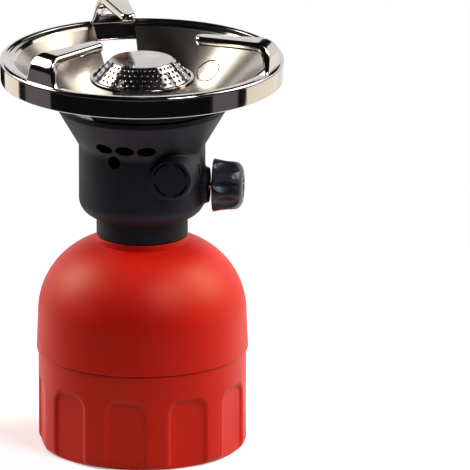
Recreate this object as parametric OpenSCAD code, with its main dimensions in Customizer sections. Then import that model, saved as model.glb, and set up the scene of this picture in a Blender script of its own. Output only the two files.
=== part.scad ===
// Camping gas stove for a pierceable cartridge.
// Origin: centre of the footprint on the floor. +Z up the burner axis, +X along the valve spindle.
// All sizes in millimetres.

/* [Cartridge chamber] */
// Diameter of the cartridge that the chamber holds
cartridge_d = 90; // [80:1:96]
// Radial room around the cartridge
cartridge_gap = 3.5; // [2:0.5:5]

/* [Base cup] */
// Wall of the cup across a rib
cup_wall = 5.5; // [5:0.1:8]
// Height of the cup from the floor to the seam
cup_h = 51.5; // [46:0.5:60]
// Thickness of the cup's floor
cup_floor = 2.5; // [1.5:0.1:4]
// Height of the hollow under the cup's floor
foot_recess = 1; // [0.5:0.1:2.5]
// Width of the ring that the cup stands on
foot_w = 5; // [3:0.5:9]
// Radius of the cup's lower edge
cup_edge_r = 4; // [2:0.5:5]
// Number of flutes around the cup
flute_count = 10; // [6:1:12]
// Width of one flute, in degrees around the axis
flute_angle = 22.5; // [14:0.5:26]
// Depth of a flute at its middle
flute_depth = 2; // [1.2:0.1:2.4]
// Height of the top of a flute
flute_top = 37; // [25:0.5:42]
// Radius of the arch at the top of a flute
flute_arch_r = 14; // [13:0.5:22]
// Direction of one flute, in degrees from +X
flute_turn = -94.4; // [-180:0.1:180]
// Middle diameter of the raised ring that the cartridge stands on
seat_ring_d = 80; // [60:1:88]
// Width of the raised ring
seat_ring_w = 3; // [2:0.5:5]
// Height of the raised ring
seat_ring_h = 1; // [0.5:0.1:3]
// Height of the screw spigot above the seam
spigot_h = 11.5; // [8:0.5:15]
// Radial room for the screw thread between spigot and dome
thread_gap = 1.2; // [0.8:0.1:1.6]

/* [Dome] */
// How far the dome stands proud of the cup at the seam
dome_overhang = 1; // [0.5:0.1:2]
// Wall of the dome
dome_wall = 2.8; // [2:0.1:3.2]
// Height of the dome above the seam
dome_h = 59.6; // [55:0.2:70]
// How much the side of the dome draws in below the shoulder
dome_draft = 0.8; // [0.2:0.1:1.5]
// Radius of the dome's shoulder
shoulder_r = 40; // [32:0.5:46]
// Radius of the dome's lower outer edge
dome_lip_r = 1; // [0.4:0.1:1.6]

/* [Neck collar] */
// Diameter of the collar
neck_d = 47.4; // [40:0.2:52]
// Height of the collar
neck_h = 12.9; // [8:0.1:20]
// Wall of the collar and thickness of its web
neck_wall = 2.5; // [1.5:0.1:4]
// Radius of the collar's lower edge
neck_edge_r = 3.5; // [1:0.5:5]

/* [Burner housing] */
// Diameter of the housing's cylinder
housing_d = 65.6; // [60:0.2:74]
// Height of the cylinder
housing_h = 38; // [34:0.5:48]
// Height of the flare above the cylinder
flare_h = 25; // [20:0.5:32]
// Diameter of the flare's lip, under the pan
flare_d = 92; // [84:0.5:104]
// Wall of the housing
housing_wall = 2.2; // [1.5:0.1:3]
// Thickness of the housing's floor
housing_floor = 2.5; // [1.5:0.1:4]
// Radius of the housing's lower edge
housing_edge_r = 9; // [5:0.5:10]
// Diameter of the round boss with the blanked igniter place
blank_boss_d = 21.6; // [19:0.2:23]
// Direction that the boss faces, in degrees from +X
blank_boss_turn = -75; // [-84:1:-68]
// How far the boss's axis passes beside the burner's axis
blank_boss_shift = 8.6; // [4:0.2:10]
// Height of the boss above the housing's floor line
blank_boss_z = 26.5; // [18:0.5:27]
// How far the boss's face stands beyond the cylinder
blank_boss_reach = 1; // [0.6:0.1:4]
// Middle diameter of the four slots round the blank
blank_slot_d = 17.2; // [12:0.2:17.6]
// Width of those slots
blank_slot_w = 0.9; // [0.6:0.1:1.4]
// Width of the bridges between those slots
blank_bridge_w = 4; // [2:0.5:6]
// Number of oval air holes
vent_count = 3; // [2:1:4]
// Direction of the middle of the row of air holes
vent_turn = -101; // [-120:1:-96]
// Angle between two air holes
vent_pitch = 18.5; // [18:0.5:22]
// Length of an oval air hole
vent_w = 9.4; // [6:0.1:9.6]
// Height of an oval air hole
vent_h = 4.9; // [3:0.1:5.4]
// Height of the air holes above the foot of the flare
vent_rise = 5.8; // [5.4:0.2:8]
// Diameter of the single round air hole
round_vent_d = 6.8; // [4:0.2:7.2]
// Direction of the round air hole
round_vent_turn = -112; // [-120:1:-104]
// Depth of the round air hole below the foot of the flare
round_vent_drop = 1.5; // [0:0.5:8]
// Direction of the narrow air slit between the two bosses
slit_turn = -28; // [-34:1:-24]
// Width of the slit
slit_w = 1.8; // [0.8:0.1:2.2]
// Length of the slit
slit_l = 6.2; // [4:0.2:8]
// Height of the slit's middle above the housing's floor line
slit_z = 29; // [24:0.5:32]

/* [Valve] */
// Height of the spindle's axis above the housing's floor line
spindle_z = 16; // [15:0.5:20]
// Diameter of the valve boss on the housing
valve_boss_d = 18.4; // [17:0.2:24]
// How far the valve boss stands proud of the cylinder
valve_boss_reach = 2.3; // [1:0.1:5]
// Diameter of the hole in the valve boss
valve_boss_bore = 14.6; // [14.2:0.1:15.6]
// Diameter of the stem that runs down through the dome
stem_d = 12; // [10:0.5:14]
// Diameter of the vertical block of the valve body
block_d = 17; // [16:0.5:20]
// Diameter of the flange on the housing's floor
valve_flange_d = 26; // [21:0.5:32]
// Thickness of that flange
valve_flange_t = 3; // [2:0.2:5]
// Diameter of the spindle barrel
barrel_d = 13; // [11.5:0.2:15]
// Distance from the axis to the end of the barrel
barrel_reach = 22; // [20:0.5:22.5]
// Diameter of the spindle's screw
spindle_screw_d = 7; // [6:0.2:7.6]
// Diameter of the spindle's rod
spindle_rod_d = 5; // [4:0.2:5.6]
// How far the spindle moves from closed to open
spindle_travel = 1.2; // [0.8:0.1:2]
// Distance from the axis to the valve seat
seat_x = 4; // [3:0.2:5]
// Diameter of the hole in the valve seat
seat_hole_d = 2.4; // [1.6:0.1:2.8]
// Diameter of the gas passages
passage_d = 2.4; // [1.6:0.1:2.8]
// Hexagon of the gland nut, across flats
gland_flats = 12; // [10:0.2:12.2]
// Length of the gland nut's hexagon
gland_hex_l = 6; // [4:0.5:7]
// Length of the gland nut's nose in the barrel
gland_nose_l = 3; // [2:0.2:5]
// Thickness of the O-ring's cord
oring_w = 1.9; // [1.4:0.1:2.2]
// Radial play of sliding and turning fits
running_fit = 0.06; // [0.02:0.01:0.1]
// Radial play of parts that are screwed or pushed together
seat_fit = 0.05; // [0.02:0.01:0.1]
// Radial room of a part that passes through a hole
pass_gap = 0.3; // [0.2:0.05:0.5]

/* [Knob] */
// Diameter of the knob
knob_d = 27.8; // [24:0.2:30]
// Length of the knob
knob_l = 15.7; // [14:0.1:20]
// Gap between the valve boss and the knob
knob_gap = 1.9; // [1.7:0.1:4]
// How much the knob's radius draws in from back to front
knob_taper = 1.4; // [0.4:0.1:2]
// Radius of the knob's front edge
knob_edge_r = 6.2; // [3:0.1:6.4]
// Wall of the knob
knob_wall = 3; // [2.6:0.1:4]
// Diameter of the knob's hub
knob_hub_d = 9; // [8:0.2:12]
// Number of finger scallops
scallop_count = 8; // [5:1:9]
// Turn of the scallops from the level, in degrees
scallop_turn = -17; // [-22:1:22]
// Depth of a scallop
scallop_depth = 1.9; // [1:0.1:2.2]
// Radius across a scallop
scallop_r = 4.4; // [3:0.1:4.6]
// Radius along a scallop
scallop_sweep_r = 10; // [9.5:0.5:12]
// How deep the spindle reaches into the knob
spindle_grip = 10; // [7:0.5:10]
// Flat of the spindle's end, from the spindle's axis
spindle_flat = 1.8; // [1.2:0.1:2]

/* [Jet and mixing tube] */
// Height of the threaded nipple above the valve block
nipple_h = 4; // [3:0.5:6]
// Diameter of the jet's shank
jet_shank_d = 4.8; // [4:0.2:6]
// Hexagon of the jet, across flats
jet_flats = 8; // [7:0.2:9]
// Height of the jet's hexagon
jet_hex_h = 2.5; // [2:0.1:4]
// Height of the jet's nose
jet_nose_h = 2.5; // [1.5:0.1:4]
// Diameter of the jet's drilled outlet
jet_hole_d = 0.8; // [0.4:0.1:1]
// Thickness of the filter disc under the jet
filter_t = 1.2; // [0.8:0.1:2]
// Outside diameter of the mixing tube
tube_d = 14; // [13:0.2:16]
// Wall of the mixing tube
tube_wall = 1; // [0.8:0.1:1.3]
// Diameter of the primary air ports
port_d = 5; // [3:0.2:5.4]
// Number of primary air ports
port_count = 4; // [2:1:4]

/* [Pan] */
// Thickness of the pan's sheet
sheet_t = 0.8; // [0.6:0.05:1.2]
// Slope of the bowl from the horizontal, in degrees
bowl_slope = 42.3; // [36:0.1:44]
// Diameter of the pan's flat floor
pan_floor_d = 44; // [36:0.5:56]
// Diameter where the bowl turns into the flange
bowl_d = 132; // [120:0.5:136]
// Outside diameter of the rim
rim_d = 148; // [144:0.5:160]
// Height of the rolled bead above the flange
bead_h = 2.3; // [1.6:0.1:2.6]
// Radius of the rolled bead
bead_r = 1.9; // [1.5:0.1:2.2]
// How far the band stands proud of the bead
band_proud = 0.4; // [0.1:0.1:0.6]
// Height of the rim from the top of the bead to the lower edge
rim_h = 10.8; // [8:0.2:14]
// Radius of the rolled lower edge of the rim
hem_r = 0.9; // [0.8:0.1:1.4]
// Hexagon of the pan nut, across flats
pan_nut_flats = 19; // [17.5:0.5:24]
// Height of the pan nut
pan_nut_h = 4; // [3:0.5:6]

/* [Pot supports] */
// Number of pot supports
support_count = 3; // [3:1:4]
// Direction of one support, in degrees from +X
support_turn = -12; // [-30:1:30]
// Height of the supports above the bead
support_h = 13.9; // [10:0.1:20]
// Length of an arm from the leg's outer face to its tip
arm_l = 42.6; // [30:0.2:44]
// Width of a leg at its foot
foot_leg_w = 22; // [18:0.5:26]
// Width where leg and arm meet
elbow_w = 13.8; // [11:0.2:16]
// Width of an arm at its tip
tip_w = 8; // [6:0.2:10]
// Depth of the folded side flanges
fold_depth = 4; // [3:0.2:5]
// Bend radius between leg and arm
elbow_r = 7; // [4.5:0.1:8]
// Room between a leg and the edge of its window
window_gap = 0.5; // [0.3:0.1:1]
// Distance from the axis to the inner end of a window
window_in = 30; // [25:0.5:40]
// Width of a window at its inner end
window_in_w = 14.7; // [10:0.2:18]

/* [Burner] */
// Diameter over the burner's base lip
burner_d = 54; // [48:0.5:56]
// Diameter of the burner's flat top
burner_top_d = 32.4; // [28:0.2:36]
// Height of the cap from its lip to its top
cap_h = 9.8; // [8:0.1:13]
// Sheet of the cap
cap_t = 0.6; // [0.5:0.05:0.9]
// Width of the cap's base lip
lip_w = 1.6; // [1.4:0.1:2.4]
// Depth of the cap's rim around the cup
cap_skirt = 1.4; // [1:0.1:2.5]
// Depth of the top of the cap below the top of the bead
burner_drop = 1.8; // [0:0.1:4]
// Rows of flame holes
hole_rows = 4; // [2:1:5]
// Flame holes in each row
hole_count = 46; // [24:1:48]
// Diameter of a flame hole
hole_d = 1.4; // [0.8:0.1:1.5]
// Wall of the burner's lower dish
dish_t = 1.2; // [0.8:0.1:2]
// Height of the dish's socket on the tube
socket_h = 6; // [4:0.5:8]
// Height of the dish's cone
dish_h = 9; // [7:0.5:11]

/* [Cartridge piercer] */
// Diameter of the large washer under the dome's top
clamp_washer_d = 34; // [26:0.5:44]
// Thickness of that washer
clamp_washer_t = 1.2; // [0.8:0.1:2]
// Hexagon of the clamp nut, across flats
clamp_nut_flats = 19; // [17:0.5:24]
// Height of the clamp nut
clamp_nut_h = 4; // [3:0.2:7]
// Diameter of the seal retainer
retainer_d = 18; // [17:0.5:22]
// Height of the seal retainer
retainer_h = 5.2; // [4.4:0.1:8]
// Thickness of the retainer's lip and of the seal's flange
retainer_lip = 1.2; // [0.8:0.1:1.6]
// Diameter of the seal's nose
seal_nose_d = 6.4; // [5:0.2:8]
// How far the seal's nose stands out of the retainer
seal_nose_h = 1; // [0.5:0.1:3]
// Diameter of the piercing needle
needle_d = 3; // [2.4:0.1:3.6]
// Diameter of the needle's blunt point
needle_point_d = 0.8; // [0.4:0.1:1.2]
// Diameter of the needle's bore and of its side port
needle_bore_d = 1.4; // [0.8:0.1:1.6]
// Length of the needle's cone
needle_cone_l = 3; // [2:0.2:4]
// How far the needle's point stands out of the seal
needle_reach = 4; // [2:0.2:6]

/* [Hidden] */
$fn = 64;

// Cuts run past the faces they go through by this much
cut = 1;

// Radii of the holder
cup_in_r = cartridge_d / 2 + cartridge_gap;
cup_r = cup_in_r + cup_wall;
dome_r = cup_r + dome_overhang;
dome_in_r = dome_r - dome_wall;
spigot_r = dome_in_r - thread_gap;
shoulder_ring_r = dome_r - dome_draft - shoulder_r;

// Heights of the stack, from the floor up
floor_z = foot_recess + cup_floor;
seam_z = cup_h;
dome_z = seam_z + dome_h;
shoulder_z = dome_z - shoulder_r;
housing_z = dome_z + neck_h;
valve_z = housing_z + housing_floor;
spindle_axis_z = housing_z + spindle_z;
flare_z = housing_z + housing_h;
lip_z = flare_z + flare_h;

// Housing
housing_r = housing_d / 2;
flare_r = flare_d / 2;
flare_run = (flare_r - housing_r) / flare_h;
stem_r = stem_d / 2;
stem_hole_r = stem_r + pass_gap;
valve_boss_x = housing_r + valve_boss_reach;
blank_boss_x = housing_r + blank_boss_reach;

// Valve, jet and mixing tube
block_top_z = spindle_axis_z + barrel_d / 2 + valve_flange_t;
tube_in_r = tube_d / 2 - tube_wall;
nipple_r = tube_in_r - seat_fit;
jet_z = block_top_z + nipple_h;
jet_tip_z = jet_z + jet_hex_h + jet_nose_h;
port_z = jet_tip_z;
screw_r = spindle_screw_d / 2;
rod_r = spindle_rod_d / 2;
oring_r = rod_r + running_fit + oring_w / 2;
gland_bore_r = oring_r + oring_w / 2 + seat_fit;
oring_x = barrel_reach - gland_nose_l - oring_w / 2;
knob_x = valve_boss_x + knob_gap;
knob_r = knob_d / 2;
spindle_end_x = knob_x + spindle_grip;

// Pan
slope_rise = tan(bowl_slope);
sheet_rise = sheet_t / cos(bowl_slope);
bowl_r = bowl_d / 2;
rim_r = rim_d / 2;
pan_floor_r = pan_floor_d / 2;
flange_z = under_z(bowl_r) + sheet_rise;
bead_top_z = flange_z + bead_h;
bead_mid_r = rim_r - band_proud - bead_r;
bead_mid_z = bead_top_z - bead_r;
rim_low_z = bead_top_z - rim_h;
pan_floor_z = under_z(pan_floor_r);
tube_hole_r = tube_d / 2 + pass_gap;

// Pot supports
leg_u = bead_mid_r;
tip_u = leg_u - arm_l;
support_z = bead_top_z + support_h;
foot_z = bead_mid_z;
elbow_z = support_z - fold_depth;
tip_r = tip_w / 2 + sheet_t / 2;

// Burner
burner_r = burner_d / 2;
cap_top_z = bead_top_z - burner_drop;
lip_top_z = cap_top_z - cap_h + lip_w / 2;
cap_foot_r = burner_r - lip_w;
cap_top_r = burner_top_d / 2;
cap_rise = cap_top_z - lip_top_z;
cap_slope = atan2(cap_rise, cap_foot_r - cap_top_r);
dish_top_z = lip_top_z - cap_t;
dish_r = burner_r - cap_t - seat_fit;
socket_top_z = dish_top_z - dish_h;
socket_z = socket_top_z - socket_h;

// Cartridge piercer, from the dome's top down
washer_z = dome_z - dome_wall - clamp_washer_t;
nut_z = washer_z - clamp_nut_h;
retainer_z = nut_z - pass_gap - retainer_h;
stem_low_z = retainer_z + 2 * retainer_lip;
needle_tip_z = retainer_z - seal_nose_h - needle_reach;

// Height of the flare's lip at radius r: it is cut to the bowl's slope
function lip_slope_z(r) = lip_z + (r - flare_r) * slope_rise;

// Height of the pan's lower face at radius r: the bowl rests on the flare's lip
function under_z(r) = lip_slope_z(r) + seat_fit;

// Half width of a pot support's leg at height z
function leg_half(z) =
    let (share = (z - foot_z) / (elbow_z - foot_z))
    (foot_leg_w + (elbow_w - foot_leg_w) * share) / 2;

// Solid disc from z0 up to z1
module disc(r, z0, z1) {
    translate([0, 0, z0]) cylinder(r = r, h = z1 - z0);
}

// Ring from z0 up to z1
module ring(r_out, r_in, z0, z1) {
    difference() {
        disc(r_out, z0, z1);
        disc(r_in, z0 - cut, z1 + cut);
    }
}

// Hexagon nut from z0 up to z1
module hex_nut(flats, bore_r, z0, z1) {
    difference() {
        translate([0, 0, z0]) cylinder(d = flats / cos(30), h = z1 - z0, $fn = 6);
        disc(bore_r, z0 - cut, z1 + cut);
    }
}

// Cylinder along +X on the spindle's axis
module rod_x(r, x0, x1) {
    translate([x0, 0, spindle_axis_z]) rotate([0, 90, 0]) cylinder(r = r, h = x1 - x0);
}

// Places a flat outline square to the direction turn, at distance x, with its own y axis up
module facing(turn, x, z) {
    rotate([0, 0, turn]) translate([x, 0, z]) rotate([90, 0, 90]) children();
}

// Rectangle r0 to r1 by z0 to z1 in a turned outline
module span(r0, r1, z0, z1) {
    translate([r0, z0]) square([r1 - r0, z1 - z0]);
}

// Round disc in a turned outline
module spot(r, x, z) {
    translate([x, z]) circle(r = r);
}

// Outline with round ends
module oval(w, h) {
    square([w - h, h], center = true);
    for (side = [-1, 1]) spot(h / 2, side * (w - h) / 2, 0);
}

// Filled outline of the dome, drawn in by inset
module dome_outline(inset) {
    side_r = dome_r - dome_draft - inset;
    polygon([[0, seam_z], [dome_r - inset, seam_z], [side_r, shoulder_z], [0, shoulder_z]]);
    span(0, shoulder_ring_r, shoulder_z, dome_z - inset);
    intersection() {
        spot(shoulder_r - inset, shoulder_ring_r, shoulder_z);
        span(shoulder_ring_r, side_r, shoulder_z, dome_z);
    }
}

// Upright wall from the axis to r, its lower edge rounded by e
module rounded_foot(r, e, z0, z1) {
    span(0, r - e, z0, z1);
    span(0, r, z0 + e, z1);
    spot(e, r - e, z0 + e);
}

// Front of one flute, open at the foot and arched at the top
module flute_outline() {
    half_w = cup_r * sin(flute_angle / 2);
    arch_z = flute_top - flute_arch_r;
    difference() {
        span(-half_w, half_w, -cut, flute_top + cut);
        difference() {
            span(-2 * half_w, 2 * half_w, arch_z, flute_top + 2 * cut);
            spot(flute_arch_r, 0, arch_z);
        }
    }
}

module base_cup() {
    color("orangered") difference() {
        union() {
            difference() {
                rotate_extrude() rounded_foot(cup_r, cup_edge_r, 0, seam_z);
                for (k = [0 : flute_count - 1])
                    facing(flute_turn + k * 360 / flute_count, cup_r - flute_depth, 0)
                        linear_extrude(flute_depth + cut) flute_outline();
            }
            ring(spigot_r, cup_in_r, seam_z - cut, seam_z + spigot_h);
        }
        difference() {
            disc(cup_in_r, floor_z, seam_z + spigot_h + cut);
            ring(seat_ring_d / 2 + seat_ring_w / 2, seat_ring_d / 2 - seat_ring_w / 2,
                floor_z - cut, floor_z + seat_ring_h);
        }
        disc(cup_r - cup_edge_r - foot_w, -cut, foot_recess);
    }
}

module top_dome() {
    color("orangered") rotate_extrude() difference() {
        dome_outline(0);
        dome_outline(dome_wall);
        span(0, clamp_washer_d / 2 + pass_gap, washer_z, dome_z - dome_wall);
        span(0, stem_hole_r, dome_z - 2 * dome_wall, dome_z + cut);
        difference() {
            span(dome_r - dome_lip_r, dome_r + cut, seam_z - cut, seam_z + dome_lip_r);
            spot(dome_lip_r, dome_r - dome_lip_r, seam_z + dome_lip_r);
        }
    }
}

module neck_collar() {
    neck_r = neck_d / 2;
    color("dimgray") rotate_extrude() difference() {
        rounded_foot(neck_r, neck_edge_r, dome_z, housing_z);
        span(0, stem_hole_r, dome_z - cut, housing_z + cut);
        span(stem_hole_r + neck_wall, neck_r - neck_wall, dome_z + neck_wall + neck_edge_r / 2,
            housing_z + cut);
    }
}

// Outline of the housing's shell
module housing_outline() {
    inner_edge_r = housing_edge_r - housing_wall;
    inner_r = housing_r - housing_wall;
    lip_in_r = flare_r - housing_wall;
    difference() {
        union() {
            rounded_foot(housing_r, housing_edge_r, housing_z, flare_z);
            polygon([[0, flare_z], [housing_r, flare_z], [flare_r, lip_z], [inner_r, lip_slope_z(inner_r)],
                [0, lip_slope_z(inner_r)]]);
        }
        rounded_foot(inner_r, inner_edge_r, valve_z, flare_z);
        polygon([[0, flare_z - cut], [inner_r, flare_z - cut], [inner_r, flare_z], [lip_in_r, lip_z],
            [0, lip_z]]);
        span(0, stem_hole_r, housing_z - cut, valve_z + cut);
    }
}

module burner_housing() {
    blank_z = housing_z + blank_boss_z;
    blank_pocket_r = blank_boss_d / 2 - housing_wall / 2;
    inner_r = housing_r - housing_wall;
    color("dimgray") difference() {
        union() {
            rotate_extrude() housing_outline();
            difference() {
                union() {
                    facing(blank_boss_turn, 0, blank_z)
                        linear_extrude(blank_boss_x) spot(blank_boss_d / 2, blank_boss_shift, 0);
                    facing(0, 0, spindle_axis_z)
                        linear_extrude(valve_boss_x) circle(d = valve_boss_d);
                }
                disc(inner_r, housing_z, lip_z);
            }
        }
        facing(0, 0, spindle_axis_z)
            linear_extrude(valve_boss_x + cut) circle(d = valve_boss_bore);
        facing(blank_boss_turn, 0, blank_z)
            linear_extrude(blank_boss_x - housing_wall) spot(blank_pocket_r, blank_boss_shift, 0);
        facing(blank_boss_turn, blank_boss_x - housing_wall - cut, blank_z)
            linear_extrude(housing_wall + 2 * cut) translate([blank_boss_shift, 0]) blank_slots();
        for (k = [0 : vent_count - 1])
            facing(vent_turn + (k - (vent_count - 1) / 2) * vent_pitch, 0, flare_z + vent_rise)
                linear_extrude(flare_r) oval(vent_w, vent_h);
        facing(round_vent_turn, 0, flare_z - round_vent_drop)
            linear_extrude(flare_r) circle(d = round_vent_d);
        facing(slit_turn, 0, housing_z + slit_z)
            linear_extrude(flare_r) rotate(90) oval(slit_l, slit_w);
    }
}

// Four slots that part the igniter blank from its boss, with a bridge between each two
module blank_slots() {
    difference() {
        circle(d = blank_slot_d + blank_slot_w);
        circle(d = blank_slot_d - blank_slot_w);
        square([blank_bridge_w, blank_slot_d + 2 * cut], center = true);
        square([blank_slot_d + 2 * cut, blank_bridge_w], center = true);
    }
}

module valve_body() {
    chamber_r = screw_r + running_fit;
    passage_r = passage_d / 2;
    feed_x = seat_x + barrel_d / 4;
    link_z = valve_z + valve_flange_t;
    color("goldenrod") difference() {
        union() {
            disc(stem_r, stem_low_z, valve_z + cut);
            disc(valve_flange_d / 2, valve_z, valve_z + valve_flange_t);
            disc(block_d / 2, valve_z, block_top_z);
            disc(nipple_r, block_top_z - cut, jet_z);
            rod_x(barrel_d / 2, 0, barrel_reach);
        }
        rod_x(chamber_r, seat_x, barrel_reach + cut);
        rod_x(gland_bore_r, oring_x - oring_w / 2, barrel_reach + cut);
        rod_x(seat_hole_d / 2, 0, seat_x + cut);
        disc(passage_r, spindle_axis_z, jet_z + cut);
        disc(jet_shank_d / 2 + seat_fit, block_top_z - filter_t, jet_z + cut);
        disc(passage_r, stem_low_z - cut, link_z + passage_r);
        translate([feed_x, 0, link_z]) cylinder(r = passage_r, h = spindle_axis_z - link_z);
        translate([0, 0, link_z]) rotate([0, 90, 0]) cylinder(r = passage_r, h = feed_x);
        disc(needle_d / 2 + seat_fit, stem_low_z - cut, needle_root_z());
    }
}

// Height of the needle's upper end inside the stem
function needle_root_z() = stem_low_z + 2 * needle_d;

module valve_spindle() {
    screw_end_x = oring_x - oring_w / 2 - spindle_travel - running_fit;
    cone_l = seat_x / 2;
    tip_r = seat_hole_d / 2 - running_fit;
    color("gold") difference() {
        union() {
            translate([seat_x - cone_l, 0, spindle_axis_z]) rotate([0, 90, 0])
                cylinder(r1 = tip_r / 2, r2 = tip_r, h = cone_l);
            rod_x(tip_r, seat_x, seat_x + cone_l + cut);
            rod_x(screw_r, seat_x + cone_l, screw_end_x);
            rod_x(rod_r, seat_x + cone_l, spindle_end_x);
        }
        translate([knob_x - spindle_travel - pass_gap, -knob_d / 2, spindle_axis_z + spindle_flat])
            cube([spindle_grip + spindle_travel + pass_gap + cut, knob_d, knob_d]);
    }
}

module spindle_seal() {
    color("black") translate([oring_x, 0, spindle_axis_z]) rotate([0, 90, 0])
        rotate_extrude() spot(oring_w / 2, oring_r, 0);
}

module gland_nut() {
    color("goldenrod") difference() {
        union() {
            rod_x(gland_bore_r - seat_fit, barrel_reach - gland_nose_l, barrel_reach + cut);
            translate([barrel_reach, 0, spindle_axis_z]) rotate([0, 90, 0])
                cylinder(d = gland_flats / cos(30), h = gland_hex_l, $fn = 6);
        }
        rod_x(rod_r + running_fit, 0, barrel_reach + gland_hex_l + cut);
    }
}

// Knob body about its own axis, back face at zero: a tapered side that runs into the round edge
module knob_outline() {
    edge_z = knob_l - knob_edge_r;
    edge_out_r = knob_r - knob_taper * edge_z / knob_l;
    edge_mid_r = edge_out_r - knob_edge_r;
    polygon([[0, 0], [knob_r, 0], [edge_out_r, edge_z], [0, edge_z]]);
    span(0, edge_mid_r, edge_z, knob_l);
    intersection() {
        spot(knob_edge_r, edge_mid_r, edge_z);
        span(edge_mid_r, edge_out_r, edge_z, knob_l);
    }
}

module control_knob() {
    hollow_l = knob_l - knob_wall;
    bore_r = rod_r + running_fit;
    scallop_mid_r = knob_r - knob_taper / 2 - scallop_depth + scallop_sweep_r;
    scallop_mid = knob_l / 2;
    color("black") difference() {
        translate([knob_x, 0, spindle_axis_z]) rotate([0, 90, 0]) rotate_extrude() knob_outline();
        for (k = [0 : scallop_count - 1])
            translate([knob_x + scallop_mid, 0, spindle_axis_z])
                rotate([scallop_turn + k * 360 / scallop_count, 0, 0]) translate([0, -scallop_mid_r, 0])
                    rotate_extrude() spot(scallop_r, scallop_sweep_r - scallop_r, 0);
        difference() {
            rod_x(knob_r - knob_wall - scallop_depth, knob_x - cut, knob_x + hollow_l - knob_edge_r / 2);
            rod_x(knob_hub_d / 2, knob_x, knob_x + knob_l);
        }
        difference() {
            rod_x(bore_r, knob_x - cut, spindle_end_x + spindle_travel + running_fit);
            translate([knob_x - 2 * cut, -knob_d / 2, spindle_axis_z + spindle_flat + running_fit])
                cube([knob_l, knob_d, knob_d]);
        }
    }
}

module gas_jet() {
    shank_r = jet_shank_d / 2;
    color("goldenrod") difference() {
        union() {
            disc(shank_r, block_top_z, jet_z + cut);
            translate([0, 0, jet_z]) cylinder(d = jet_flats / cos(30), h = jet_hex_h, $fn = 6);
            translate([0, 0, jet_z + jet_hex_h])
                cylinder(r1 = shank_r, r2 = shank_r / 2, h = jet_nose_h);
        }
        disc(jet_hole_d / 2, block_top_z - cut, jet_tip_z + cut);
        disc(passage_d / 2, block_top_z - cut, jet_z + jet_hex_h);
    }
}

module jet_filter() {
    color("silver") disc(jet_shank_d / 2, block_top_z - filter_t, block_top_z);
}

module mixing_tube() {
    color("silver") difference() {
        ring(tube_d / 2, tube_in_r, block_top_z, socket_top_z + dish_t);
        for (k = [0 : port_count - 1])
            facing((k + 0.5) * 360 / port_count, 0, port_z)
                linear_extrude(tube_d) circle(d = port_d);
    }
}

// Outline of the pan's sheet: floor, bowl, flange, bead, band and hem
module pan_outline() {
    span(tube_hole_r, pan_floor_r, pan_floor_z, pan_floor_z + sheet_rise);
    polygon([[pan_floor_r, pan_floor_z], [bowl_r, under_z(bowl_r)], [bowl_r, flange_z],
        [pan_floor_r, pan_floor_z + sheet_rise]]);
    span(bowl_r, bead_mid_r, flange_z - sheet_rise, flange_z);
    spot(bead_r, bead_mid_r, bead_mid_z);
    span(rim_r - sheet_t, rim_r, rim_low_z + hem_r, bead_mid_z);
    spot(hem_r, rim_r - hem_r, rim_low_z + hem_r);
}

// Side view of a support, from the leg's outer face inward, drawn in by inset
module support_side(inset) {
    r = elbow_r - inset;
    u1 = leg_u - inset;
    z1 = support_z - inset;
    difference() {
        union() {
            span(leg_u - fold_depth - (inset > 0 ? cut : 0), u1, foot_z - (inset > 0 ? cut : 0), z1);
            span(tip_u - cut, u1, elbow_z - (inset > 0 ? cut : 0), z1);
        }
        difference() {
            span(u1 - r, u1 + cut, z1 - r, z1 + cut);
            spot(r, u1 - r, z1 - r);
        }
    }
}

// Plan of an arm and front of a leg as one prism each, drawn in by inset
module support_width(inset) {
    elbow_half = elbow_w / 2 - inset;
    tip_half = tip_w / 2 - inset;
    elbow_u = leg_u - fold_depth;
    low_half = leg_half(foot_z - cut) - inset;
    translate([0, 0, elbow_z - cut]) linear_extrude(fold_depth + 2 * cut) difference() {
        polygon([[tip_u, -tip_half], [elbow_u, -elbow_half], [leg_u + cut, -elbow_half],
            [leg_u + cut, elbow_half], [elbow_u, elbow_half], [tip_u, tip_half]]);
        difference() {
            span(tip_u - cut, tip_u + tip_r, -tip_w, tip_w);
            spot(tip_r - inset, tip_u + tip_r, 0);
        }
    }
    facing(0, elbow_u - cut, 0) linear_extrude(fold_depth + 2 * cut)
        polygon([[-low_half, foot_z - cut], [low_half, foot_z - cut], [elbow_half, elbow_z],
            [-elbow_half, elbow_z]]);
}

// One folded channel: outer form less the same form drawn in by the sheet
module support() {
    difference() {
        support_form(0);
        support_form(sheet_t);
    }
}

module support_form(inset) {
    intersection() {
        translate([0, foot_leg_w, 0]) rotate([90, 0, 0]) linear_extrude(2 * foot_leg_w)
            support_side(inset);
        support_width(inset);
    }
}

// Window that the support's blank leaves in the bowl
module window() {
    outer_u = leg_u - sheet_t;
    outer_half = foot_leg_w / 2 + window_gap;
    inner_half = window_in_w / 2;
    translate([0, 0, pan_floor_z - cut]) linear_extrude(bead_top_z - pan_floor_z + 2 * cut)
        polygon([[window_in, -inner_half], [outer_u, -outer_half], [outer_u, outer_half],
            [window_in, inner_half]]);
}

module top_pan() {
    color("gainsboro") {
        difference() {
            rotate_extrude() pan_outline();
            for (k = [0 : support_count - 1])
                rotate([0, 0, support_turn + k * 360 / support_count]) window();
        }
        for (k = [0 : support_count - 1])
            rotate([0, 0, support_turn + k * 360 / support_count]) support();
    }
}

module pan_nut() {
    top = pan_floor_z + sheet_rise;
    color("silver") hex_nut(pan_nut_flats, tube_d / 2 + seat_fit, top, top + pan_nut_h);
}

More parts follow.
